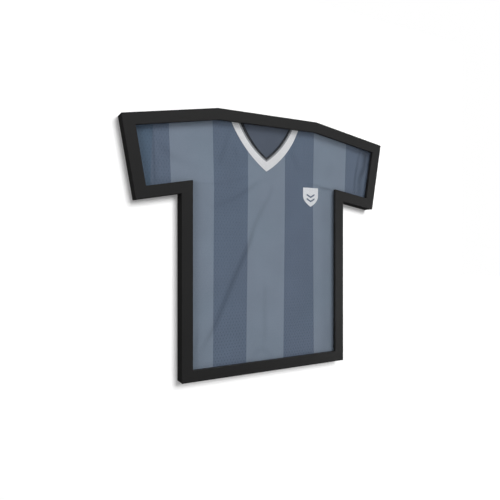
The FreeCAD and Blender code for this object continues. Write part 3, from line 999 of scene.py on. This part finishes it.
def band_piece(name, outer, inner, count, section, finish, ribs=0.0):
    """Closed band along the V. Its section is (share across, depth) from its outer to its inner edge."""
    first = neck_curve(outer, count)
    step = neck_curve(inner, count) - first
    rows = [first + step * share for share, _ in section]
    total = len(rows[0])
    along = run_along(rows[len(rows) // 2])
    along = np.abs(along - along[total // 2])
    points, groove_shade = [], []
    for (share, depth), row in zip(section, rows):
        swell = min(1.0, 8 * share, 8 * (1 - share)) if ribs else 0.0
        for i, (x, height) in enumerate(row):
            wave = swell * (0.5 - 0.5 * math.cos(math.tau * along[i] / RIB_PITCH))
            points.append(spot(x, height, depth + ribs * wave))
            # Painted shade in the rib valley
            groove_shade.append(RIB_GROOVE_SHADE * wave**2)
    for row in (rows[0], rows[-1]):
        points += [spot(x, height, COLLAR_BACK) for x, height in row]
    loops = [list(range(k * total, (k + 1) * total)) for k in range(len(rows) + 2)]
    order = loops[: len(rows)] + [loops[-1], loops[-2]]
    faces = []
    for first, second in zip(order, order[1:] + order[:1]):
        faces += [(first[i], first[i + 1], second[i + 1], second[i]) for i in range(total - 1)]
    faces.append([loop[0] for loop in reversed(order)])
    faces.append([loop[-1] for loop in order])
    piece = new_piece(name, points, faces, finish)
    if ribs:
        shade_by(piece, np.array(groove_shade + [0.0] * (len(points) - len(groove_shade))))
    face_outwards(piece)
    return piece


def between(first, second, share):
    """Neckline curve part of the way from one to another."""
    return tuple(a + (b - a) * share for a, b in zip(first, second))


def moved_out(curve, drop, spread):
    """Neckline curve with its tip moved down and its top ends moved apart."""
    tip_height, left_half, right_half, *bows = curve
    return (tip_height - drop, left_half + spread, right_half + spread, *bows)


def stitch_row(name, curve, spacing, length, depth, radius, finish):
    """Row of short thread stitches along a neckline, each a small rounded capsule."""
    line = neck_curve(curve, STITCH_LINE_POINTS)
    run = run_along(line)
    points, faces = [], []
    for at in np.arange(spacing, run[-1] - spacing, spacing):
        centre = on_line(line, run, at)
        ahead = on_line(line, run, at + 1e-4) - centre
        ahead /= norm(ahead)
        add_stitch(points, faces, centre, ahead, length, depth, radius)
    return new_piece(name, points, faces, finish)


def add_stitch(points, faces, centre, ahead, length, depth, radius, around=6, rings=5):
    """Add one capsule stitch that lies on a surface."""
    across = np.array([ahead[1], -ahead[0]])
    start = len(points)
    for ring in range(rings):
        share = ring / (rings - 1) * 2 - 1
        thick = radius * math.sqrt(max(0.04, 1 - share**4))
        middle = centre + ahead * share * length / 2
        for turn in range(around):
            angle = math.tau * turn / around
            x, height = middle + across * thick * math.cos(angle)
            points.append(spot(x, height, depth - thick * math.sin(angle)))
    for ring in range(rings - 1):
        for turn in range(around):
            a = start + ring * around + turn
            b = start + ring * around + (turn + 1) % around
            faces.append((a, b, b + around, a + around))
    faces.append([start + turn for turn in reversed(range(around))])
    faces.append([start + (rings - 1) * around + turn for turn in range(around)])


def make_collar(finishes):
    """White ribbed band, grey binding, and stitched dark neck tape along the inner edge; its extra width on
    the left arm is painted shade.
    """
    face = COLLAR_FACE
    low = CLOTH_FRONT - 0.00003
    round_edge = [(0.0, low), (0.02, low - 0.00022), (0.06, face + 0.00008), (0.12, face)]
    flat = [(share, face) for share in np.linspace(0.2, 0.9, 8)]
    inner_edge = [(0.96, face + 0.00006), (1.0, face + 0.00022)]
    section = round_edge + flat + inner_edge
    finish = finishes["rib"]
    rib = band_piece("collar_rib_band", COLLAR_OUTER, BINDING_OUTER, RIB_POINTS, section, finish, RIB_DEPTH)
    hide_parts("jersey_collar")
    rim = face + 0.0003
    sides = [(0.08, rim - 0.00018), (0.5, rim - 0.00022), (0.92, rim - 0.00018)]
    section = [(0.0, rim)] + sides + [(1.0, rim)]
    finish = finishes["binding"]
    binding = band_piece("collar_binding", BINDING_OUTER, TAPE_OUTER, BAND_POINTS, section, finish)
    low_tape = face + 0.00025
    section = [(0.0, low_tape + 0.0001), (0.05, low_tape), (0.95, low_tape), (1.0, low_tape + 0.0001)]
    tape = band_piece("collar_tape", TAPE_OUTER, TAPE_AND_SHADE_INNER, BAND_POINTS, section, finishes["tape"])
    line = between(TAPE_OUTER, TAPE_AND_SHADE_INNER, -0.12)
    stitches = stitch_row("collar_stitches", line, 0.0032, 0.0021, face + 0.00008, 0.00025, finishes["tape"])
    line = between(TAPE_OUTER, TAPE_AND_SHADE_INNER, 0.45)
    ridge = stitch_row("collar_tape_stitches", line, 0.0030, 0.0019, low_tape, 0.00020, finishes["binding"])
    line = moved_out(COLLAR_OUTER, 0.0024, 0.0016)
    seam = stitch_row("collar_seam_stitches", line, 0.0029, 0.0018, CLOTH_FRONT, 0.00018, finishes["thread"])
    return [rib, binding, tape, stitches, ridge, seam]


# ---- badge

BADGE_THICKNESS = 0.0003
CHEVRON_THICKNESS = 0.00016
THREAD_PITCH = 0.00035
BORDER_HALF_WIDTH = 0.0011
BORDER_HALF_DEPTH = 0.00018
BORDER_SINK = 0.00006


def shield(width, height, count=28):
    """Closed outline of a shield about its centre: straight top and two arcs that meet at the foot."""
    half = width / 2
    top, shoulder, foot = height / 2, height * 0.08, -height / 2
    right = [(half, top), (half, (top + shoulder) / 2), (half, shoulder)]
    for step in range(1, count):
        t = step / count
        bend = (half * 1.02, shoulder - height * 0.30)
        x = (1 - t) ** 2 * half + 2 * t * (1 - t) * bend[0]
        h = (1 - t) ** 2 * shoulder + 2 * t * (1 - t) * bend[1] + t**2 * foot
        right.append((x, h))
    left = [(-x, h) for x, h in reversed(right)]
    tops = [(x, top) for x in np.linspace(-half, half, 14)[1:-1]]
    return np.array(right + [(0.0, foot)] + left + tops)


def make_badge(finishes):
    """Plain woven shield with a raised stitched border and two chevrons, none of it lettered."""
    face = CLOTH_FRONT - BADGE_THICKNESS
    field = pad_from_outline("crest_badge_field", shield(*badge_size * 0.93), face, finishes["field"])
    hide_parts("crest_badge")
    rim = shield(*badge_size * 0.95) + badge_centre
    border = border_tube("crest_badge_border", rim, face, finishes["border"])
    pieces = [field, border] + make_emblem(face - CHEVRON_THICKNESS, finishes["emblem"])
    return pieces


def pad_from_outline(name, rim, face, finish):
    """Flat closed pad on the cloth, over an outline about the badge's centre, its face at this depth."""
    places, faces = fill(rim + badge_centre, 0.0025)
    count = len(places)
    points = [spot(x, h, face) for x, h in places]
    points += [spot(x, h, CLOTH_FRONT) for x, h in places]
    back_faces = [tuple(count + i for i in reversed(f)) for f in faces]
    ring = range(len(rim))
    sides = [(i, (i + 1) % len(rim), count + (i + 1) % len(rim), count + i) for i in ring]
    piece = new_piece(name, points, faces + back_faces + sides, finish, smooth=False)
    face_outwards(piece)
    return piece


def border_tube(name, rim, face, finish):
    """Overlocked border: close threads wound over the edge, as a ridged flat tube."""
    line = np.vstack([rim, rim[:1]])
    run = run_along(line)
    count = int(run[-1] / THREAD_PITCH)
    around = 8
    points, faces = [], []
    for i in range(count):
        at = run[-1] * i / count
        centre = on_line(line, run, at)
        ahead = on_line(line, run, (at + 3e-4) % run[-1]) - centre
        ahead = ahead / max(norm(ahead), 1e-9)
        across = np.array([ahead[1], -ahead[0]])
        ridge = 1.0 - 0.10 * (i % 3 == 0)
        for turn in range(around):
            angle = math.tau * turn / around
            x, h = centre + across * math.cos(angle) * BORDER_HALF_WIDTH * ridge
            rise = BORDER_HALF_DEPTH * ridge * math.sin(angle)
            points.append(spot(x, h, face + BORDER_SINK - rise))
    for i in range(count):
        for turn in range(around):
            a, b = i * around + turn, i * around + (turn + 1) % around
            c, d = (a + around) % (count * around), (b + around) % (count * around)
            faces.append((a, b, d, c))
    piece = new_piece(name, points, faces, finish)
    face_outwards(piece)
    return piece


def make_emblem(face, finish):
    """Two embroidered chevrons on the badge."""
    width, height = badge_size
    arm, thick = width * 0.26, height * 0.085
    pieces = []
    for name, middle in (("upper", height * 0.10), ("lower", height * -0.12)):
        dip = middle - arm * 0.55
        rim = [(-arm, middle), (0.0, dip), (arm, middle), (arm, middle + thick), (0.0, dip + thick)]
        rim = np.array(rim + [(-arm, middle + thick)])
        step = np.roll(rim, -1, axis=0) - rim
        dense = np.vstack([rim[i] + step[i] * share for i in range(6) for share in np.arange(5) / 5])
        pieces.append(pad_from_outline("crest_badge_chevron_" + name, dense[::-1], face, finish))
    return pieces


# ---- scene


def dress_cad_nodes():
    """Give each CAD node that stays in view its finish."""
    zinc = finish_with("screw_zinc", plated_steel, *SCREW_ZINC, 900.0, Metallic=1.0)
    steel = finish_with("hanger_steel", plated_steel, *HANGER_STEEL, 700.0, Metallic=1.0)
    plastic = finish_with("button_plastic", button_plastic, Specular_IOR_Level=0.45)
    finishes = {
        "front_frame": finish_with("frame_black", frame_black, Specular_IOR_Level=0.25),
        "clear_window": clear_window(),
        "insert_panel": finish_with("insert_board", insert_board, Specular_IOR_Level=0.2),
        "back_panel": finish_with("back_board", back_board, Specular_IOR_Level=0.35),
        "turn_button_screws": zinc,
        "hanger_screws": zinc,
        "keyhole_hanger_left": steel,
        "keyhole_hanger_right": steel,
    }
    for name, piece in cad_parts.items():
        finish = finishes.get(name, plastic if name.startswith("turn_button_") else None)
        if finish is None:
            continue
        for used in piece.material_slots:
            used.material = finish
        if not piece.material_slots:
            piece.data.materials.append(finish)


def make_jersey():
    """The whole garment: cloth layers, collar and badge."""
    cloth = {"Specular_IOR_Level": 0.18, "Sheen_Weight": 0.12, "Sheen_Roughness": 0.45}
    outside = finish_with("jersey_knit", striped_knit, **cloth)
    inner = finish_with("jersey_inside", inside_knit, **cloth)
    collar = {
        "rib": finish_with("collar_rib", yarn, RIB_WHITE, **cloth),
        "thread": finish_with("seam_thread", yarn, SEAM_THREAD, **cloth),
        "binding": finish_with("collar_binding", twill, BINDING_GREY, **cloth),
        "tape": finish_with("collar_tape", twill, TAPE_BLACK, FINE_TWILL, Specular_IOR_Level=0.1),
    }
    badge = {
        "field": finish_with("badge_weave", twill, BADGE_FIELD, **cloth),
        "border": finish_with("badge_border", yarn, BADGE_BORDER, **cloth),
        "emblem": finish_with("badge_emblem", twill, BADGE_EMBLEM, FINE_TWILL, **cloth),
    }
    front = make_jersey_front(outside)
    back = make_jersey_back(inner)
    trim = make_collar(collar) + make_badge(badge)
    sides = outline(EDGE_INSET)
    around = norm(np.roll(sides, -1, axis=0) - sides, axis=1).sum()
    flap = area_in(sides) - area_in(outline(EDGE_INSET + FLAP))


make_camera()
make_surround()
make_lights(make_stage())
dress_cad_nodes()
make_jersey()
